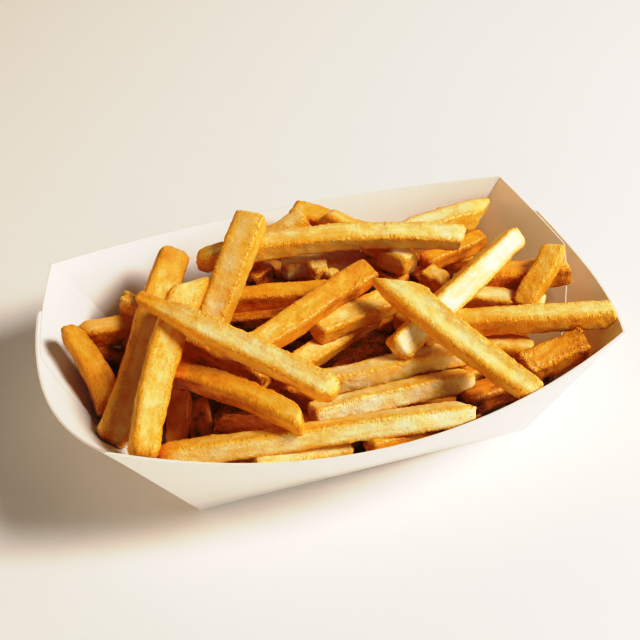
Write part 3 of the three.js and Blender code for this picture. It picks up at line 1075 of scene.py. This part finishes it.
    def _capped(self, rings: Array) -> Array:
        """The rings with two smaller ones at each end, which close most of the cut.

        Args:
            rings: (rings, around, 3) values of a fry.

        Returns:
            The same with four rings more.
        """
        caps = []
        for row in (0, -1):
            middle = rings[row].mean(axis=0)
            caps.append([middle + (rings[row] - middle) * shrink for shrink in self.cap_sizes])
        return np.concatenate([caps[0][::-1], rings, caps[1]])

    @staticmethod
    def _per_point(grid: Array) -> Array:
        """The values of all rings' points in a row, and those of the two points that close the ends."""
        closing = [grid[0].mean(axis=0), grid[-1].mean(axis=0)]
        return np.concatenate([grid.reshape(-1, *grid.shape[2:]), closing])

    def _relief(self, local: Array, edge: Array, roughness: Array) -> Array:
        """How far the crust stands out at each point.

        Args:
            local: millimetres along, across and up, different for each fry.
            edge: how near to an edge, from 0 to 1.
            roughness: how rough the skin is.

        Returns:
            Heights over the smooth skin.
        """
        relief = self.broad(local * self.lumps[1]) * self.lumps[0]
        relief += self.small(local * self.knobs[1]) * self.knobs[0]
        pimple = np.maximum(0.0, self.small(local * np.array([0.8, 1.0, 1.0]) * self.pimples[1])) ** 1.3
        relief += pimple * self.pimples[0] * (1.0 + 2.0 * roughness)
        relief += roughness * self.crumbs[0] * self.small(local * self.crumbs[1] + 5.0)
        relief += edge * self.edge_dents[0] * self.small(local * self.edge_dents[1])
        granule = np.maximum(0.0, self.small(local * self.granules[1] + 9.0)) ** 1.2
        return relief + edge**2 * self.granules[0] * granule

    def _faces(self, rings: int) -> list[list[int]]:
        """The faces of a fry's skin and of its two ends.

        Args:
            rings: how many rings the skin has.

        Returns:
            The corner numbers of each face.
        """
        number = closed_rings(rings, self.around)
        near, far = number[0].tolist(), number[-1].tolist()
        middle = rings * self.around
        faces = quads(number, True)
        faces += [[middle, *pair] for pair in zip(near[:-1], near[1:])]
        faces += [[middle + 1, *pair] for pair in zip(far[1:], far[:-1])]
        return faces

    def add(self, parts: MeshParts, fry: Fry) -> None:
        """Adds one fry to a mesh in the making.

        Args:
            parts: the mesh.
            fry: the stick.
        """
        course = self._course(fry)
        across, height, edge = self._section()
        place_key = self.draws.uniform(0.0, self.key_range, 3)
        girth = self._girth(fry, course, place_key)
        points, local = self._skin(fry, course, girth, across, height)
        points, local = self._capped(points), self._capped(local + place_key)

        normal = unit(np.cross(np.roll(points, -1, 1) - np.roll(points, 1, 1), np.gradient(points, axis=0)))
        out = points[len(points) // 2, 0] - course.line[len(course.line) // 2]
        normal *= np.sign(np.sum(normal[len(points) // 2, 0] * out))
        normal[:2] = -course.axis
        normal[-2:] = course.axis
        level = np.ones(points.shape[:2])
        edge, roughness = edge * level, np.pad(girth.roughness, 2, mode="edge")[:, None]
        points = points + normal * self._relief(local, edge, roughness)[..., None]
        flat = self.tray.kept_inside(points.reshape(-1, 3))

        # Painted light: the side faces' extra tone is partly browning and partly painted shade and bounce,
        # and fried and shift carry painted shade and light.
        face_tones = self.draws.normal(0.0, self.side_tone_spread, 4)
        face_tones += np.array([fry.sides, fry.sides, 0.0, 0.0])
        sides = np.stack([across, -across, height, -height], -1) > self.face_from
        on_way = np.pad(course.share, 2, constant_values=(0.0, 1.0))[:, None]
        tone = fry.fried + fry.shift * (on_way - 0.5) + (sides * face_tones).sum(-1)[None, :]
        tone = tone + self.tone_spread[0] * self.broad(local * self.tone_spread[1])
        tone = tone + self.thin_tone * np.pad(girth.thin, 2, mode="edge")[:, None]
        tip = np.exp(-np.pad(course.from_tip, 2) / self.tip_reach)[:, None]
        parts.add(
            self._per_point(flat.reshape(points.shape)),
            self._faces(len(points)),
            fry_place=self._per_point(local),
            fry_edge=self._per_point(edge),
            fry_tip=self._per_point(tip * level),
            fry_tone=self._per_point(tone),
            fry_rough=self._per_point(roughness * level),
        )


@dataclass(frozen=True)
class FillLayer:
    """A layer of hidden fries: the seed, tries and most of its draws, the greatest and least height
    of a fry's line, and how far its palest fry is fried, darker for deeper layers as painted shade."""

    seed: int
    tries: int
    most: int
    top: float
    lowest: float
    fried: float


# Painted shade: both hidden layers are fried darker than the shown fries, the deeper one most, so the gaps
# read dark.
GAP_LAYER = FillLayer(20, 900, 30, 36.0, 15.0, 0.46)
BED_LAYER = FillLayer(31, 1500, 60, 26.0, 8.0, 0.62)


@dataclass
class Filler:
    """Fries that fill the gaps from below, each as high as what covers it allows."""

    tray: Tray
    half_length: float = 74.0
    half_width: float = 48.0
    width: float = 7.5
    shortest: float = 35.0
    longest: float = 60.0
    free_corner: Pair = (-45.0, 26.0)
    sink: float = 0.8
    fried_spread: float = 0.22
    fried_step: float = 0.618

    def _wall(self, x: float, y: float) -> float:
        """How high the walls reach over a point of the plan, roughly.

        Args:
            x: the point towards the right end.
            y: and towards the back.

        Returns:
            The height, 0 over the flat base.
        """
        height = 0.0
        for is_long, out, along in ((True, abs(y), abs(x)), (False, abs(x), abs(y))):
            (foot, _), (rim, rim_along), bulge, dip = self.tray.form(is_long)
            arch = 1.0 - min(1.0, along / rim_along) ** 2
            rise = (out - foot) / (rim + bulge * arch - foot)
            height = max(height, rise * (self.tray.corner_height - dip * arch))
        return height

    def _ceiling(self, fry: Fry, x: float, y: float) -> float:
        """How high the line of a stick may run at a point of the plan under one fry.

        Args:
            fry: what lies over it.
            x: the point towards the right end.
            y: and towards the back.

        Returns:
            The height, or infinity where the fry is out of reach.
        """
        (x0, y0, z0), (x1, y1, z1) = fry.start, fry.end
        dx, dy = x1 - x0, y1 - y0
        along = min(1.0, max(0.0, ((x - x0) * dx + (y - y0) * dy) / (dx * dx + dy * dy)))
        apart = math.hypot(x - x0 - along * dx, y - y0 - along * dy)
        reach = (fry.width + self.width) / 2.0
        if apart >= reach:
            return math.inf
        clear = (fry.thick + self.width) / 2.0 * (1.0 - (apart / reach) ** 4) ** 0.25
        return z0 + along * (z1 - z0) - clear

    def lay(self, above: list[Fry], layer: FillLayer) -> list[Fry]:
        """Lays fries under others.

        Args:
            above: what lies over them.
            layer: which fries to lay.

        Returns:
            The new fries.
        """
        random = RandomStream(layer.seed)
        made: list[Fry] = []
        for _ in range(layer.tries):
            if len(made) >= layer.most:
                break
            x = (2.0 * random() - 1.0) * self.half_length
            y = (2.0 * random() - 1.0) * self.half_width
            yaw = random() * math.pi
            half = (self.shortest + (self.longest - self.shortest) * random()) / 2.0
            ux, uy = math.cos(yaw), math.sin(yaw)
            height, ground = layer.top, 0.0
            for step in range(-4, 5):
                px, py = x + step / 4 * half * ux, y + step / 4 * half * uy
                for fry in above + made:
                    height = min(height, self._ceiling(fry, px, py))
                ground = max(ground, self._wall(px, py) + self.width)
            height += self.sink
            in_corner = x - half * abs(ux) < self.free_corner[0] and y + half * abs(uy) > self.free_corner[1]
            if height < max(layer.lowest, ground) or in_corner:
                continue
            ends = [(x + sign * half * ux, y + sign * half * uy, height) for sign in (-1, 1)]
            fried = layer.fried + self.fried_spread * ((len(made) * self.fried_step) % 1.0)
            made.append(Fry(ends[0], ends[1], self.width, self.width, fried=fried))
        return made


@dataclass
class Heap:
    """The loose heap of fries in the tray."""

    tray: Tray
    core_half_length: float = 62.0
    core_half_width: float = 42.0
    core_foot: float = 2.0
    core_height: float = 13.0
    core_lumps: float = 1.2
    core_steps: tuple[int, int] = (72, 18)
    # Painted shade: the core is dark brown to stand for the shade deep inside the heap.
    core_shade_tone: float = 0.8
    core_seed: int = 77

    def __post_init__(self) -> None:
        """Sets up the finish that all fries share."""
        self.finish = FriedPotato().material()

    def _layer(self, name: str, fries: list[Fry], shaper: FryShaper) -> bpy.types.Object:
        """One piece from one layer of fries.

        Args:
            name: the piece's name.
            fries: the sticks.
            shaper: how finely they are shaped.

        Returns:
            The piece.
        """
        parts = MeshParts()
        for fry in fries:
            shaper.add(parts, fry)
        return parts.build(name, self.finish)

    def _core(self) -> bpy.types.Object:
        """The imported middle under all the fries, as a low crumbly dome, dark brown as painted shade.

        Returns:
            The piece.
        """
        parts = MeshParts()
        noise = LatticeNoise(self.core_seed)
        columns, rows = self.core_steps
        turn = np.arange(columns) * math.tau / columns
        rise = np.radians(np.linspace(0.0, 84.0, rows))
        out, up = np.cos(rise)[:, None], np.sin(rise)[:, None]
        x = self.core_half_length * out * np.cos(turn)
        y = self.core_half_width * out * np.sin(turn)
        z = self.core_foot + self.core_height * up * np.ones_like(x)
        points = np.stack([x, y, z], -1)
        points = points + unit(points) * (noise(points * 0.18) * self.core_lumps)[..., None]
        flat = self.tray.kept_inside(points.reshape(-1, 3))
        number = closed_rings(rows, columns)
        faces = quads(number) + [number[-1, :-1].tolist(), number[0, :-1][::-1].tolist()]
        level = np.ones(len(flat))
        values = {"fry_edge": 0.0 * level, "fry_tip": 0.0 * level, "fry_tone": self.core_shade_tone * level}
        parts.add(flat, faces, fry_place=flat, fry_rough=level, **values)
        return parts.build("heap_core", self.finish)

    def build(self) -> None:
        """Builds every layer of the heap."""
        shown = DEEP_FRIES + BACK_FRIES + MIDDLE_FRIES + TOP_FRIES
        filler = Filler(self.tray)
        gap_fries = filler.lay(shown, GAP_LAYER)
        bed_fries = filler.lay(shown + gap_fries, BED_LAYER)
        fine = FryShaper(self.tray, around=56, spacing=0.5, seed=11)
        medium = FryShaper(self.tray, around=44, spacing=0.7, seed=23)
        coarse = FryShaper(self.tray, around=24, spacing=1.6, seed=37)
        layers = [
            ("fries_top", TOP_FRIES, fine),
            ("fries_middle", MIDDLE_FRIES, fine),
            ("fries_back", BACK_FRIES, medium),
            ("fries_deep", DEEP_FRIES, medium),
            ("fries_in_gaps", gap_fries, medium),
            ("broken_bits", BROKEN_BITS, medium),
            ("fries_bed", bed_fries, coarse),
        ]
        pieces = [self._layer(*layer) for layer in layers] + [self._core()]
        for piece in pieces:
            dress(piece, "potato", "fries")


# -------- camera, light and floor


@dataclass(frozen=True)
class Lamp:
    """A soft disc lamp: the way to it, its distance and size in millimetres, its power and colour."""

    name: str
    direction: Point
    distance: float
    size: float
    power: float
    colour: Colour


LAMPS = [
    Lamp("key", (0.61, -0.30, 0.73), 1150.0, 460.0, 10.6, (1.0, 0.985, 0.95)),
    Lamp("back_fill", (0.29, 0.87, 0.41), 1200.0, 900.0, 2.5, (1.0, 0.94, 0.84)),
    Lamp("front_fill", (-0.47, -0.85, 0.24), 1200.0, 1000.0, 4.3, (1.0, 0.97, 0.90)),
    Lamp("left_fill", (-0.90, 0.30, 0.31), 1200.0, 900.0, 2.8, (1.0, 0.72, 0.40)),
    Lamp("right_fill", (0.92, -0.31, 0.24), 1200.0, 900.0, 4.4, (1.0, 0.97, 0.91)),
]


# The film-like response of the camera: display brightness against what a straight one would give.
TONE_CURVE = (
    *((0.0, 0.0), (0.12, 0.06), (0.25, 0.14), (0.40, 0.36), (0.55, 0.56)),
    *((0.68, 0.73), (0.80, 0.895), (0.90, 0.952), (1.0, 1.0)),
)


@dataclass
class Studio:
    """A pale floor, a key lamp from the right, four soft fills, the room's light and the camera."""

    azimuth: float = -18.64
    elevation: float = 39.93
    distance: float = 486.46
    target: Point = (2.32, 15.66, 20.0)
    lens: float = 75.15
    sensor: float = 36.0
    nearest: float = 10.0
    floor_half: float = 1500.0
    floor_steps: int = 8
    room_colour: Colour = (1.0, 0.80, 0.58)
    room_strength: float = 0.02
    tone_curve: tuple[Pair, ...] = TONE_CURVE

    def build(self) -> None:
        """Builds the floor, the lamps, the room light and the camera."""
        self._floor()
        for lamp in LAMPS:
            self._lamp(lamp)
        self._room()
        self._camera()
        self._response()

    def _floor(self) -> None:
        """The floor under the tray."""
        axis = np.linspace(-self.floor_half, self.floor_half, self.floor_steps + 1)
        x, y = np.meshgrid(axis, axis)
        points = np.stack([x, y, np.zeros_like(x)], -1)
        parts = MeshParts()
        parts.add(points.reshape(-1, 3), quads(np.arange(x.size).reshape(x.shape)))
        parts.build("floor", PaleFloor().material())

    def _lamp(self, lamp: Lamp) -> None:
        """One soft disc lamp that faces the tray.

        Args:
            lamp: where it stands, and its light.
        """
        data = bpy.data.lights.new(lamp.name, "AREA")
        data.shape = "DISK"
        data.size = lamp.size * MM
        data.energy = lamp.power
        data.color = lamp.colour
        towards = Vector(lamp.direction).normalized()
        holder = add_object(lamp.name, data)
        holder.location = towards * lamp.distance * MM
        holder.rotation_euler = towards.to_track_quat("Z", "Y").to_euler()
        holder.visible_camera = False

    def _response(self) -> None:
        """The camera's response: deeper darks and softer lights than a straight one."""
        view = bpy.context.scene.view_settings
        view.view_transform = "Standard"
        view.use_curve_mapping = True
        mapping = view.curve_mapping
        curve = mapping.curves[3]
        points = [(linear(low), linear(high)) for low, high in self.tone_curve]
        while len(curve.points) < len(points):
            curve.points.new(0.5, 0.5)
        for point, place in zip(curve.points, points):
            point.location = place
        mapping.update()

    def _room(self) -> None:
        """The even light of the room."""
        world = bpy.data.worlds.new("room")
        world.use_nodes = True
        background = world.node_tree.nodes["Background"]
        background.inputs["Color"].default_value = (*self.room_colour, 1.0)
        background.inputs["Strength"].default_value = self.room_strength
        bpy.context.scene.world = world

    def _camera(self) -> None:
        """The camera."""
        turn, rise = math.radians(self.azimuth), math.radians(self.elevation)
        back = Vector((math.sin(turn) * math.cos(rise), -math.cos(turn) * math.cos(rise), math.sin(rise)))
        right = Vector((math.cos(turn), math.sin(turn), 0.0))
        up = back.cross(right)
        data = bpy.data.cameras.new("camera")
        data.lens = self.lens
        data.sensor_width = self.sensor
        data.clip_start = self.nearest * MM
        holder = add_object("camera", data)
        axes = Matrix((right, up, back)).transposed()
        place = (Vector(self.target) + back * self.distance) * MM
        holder.matrix_world = Matrix.Translation(place) @ axes.to_4x4()
        bpy.context.scene.camera = holder


def main() -> None:
    """Builds the tray, the heap and the studio."""
    logging.basicConfig(level=logging.INFO, format="%(name)s %(message)s")
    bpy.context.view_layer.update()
    tray = Tray()
    tray.build()
    Heap(tray).build()
    Studio().build()
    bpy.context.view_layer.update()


if __name__ == "__main__":
    main()
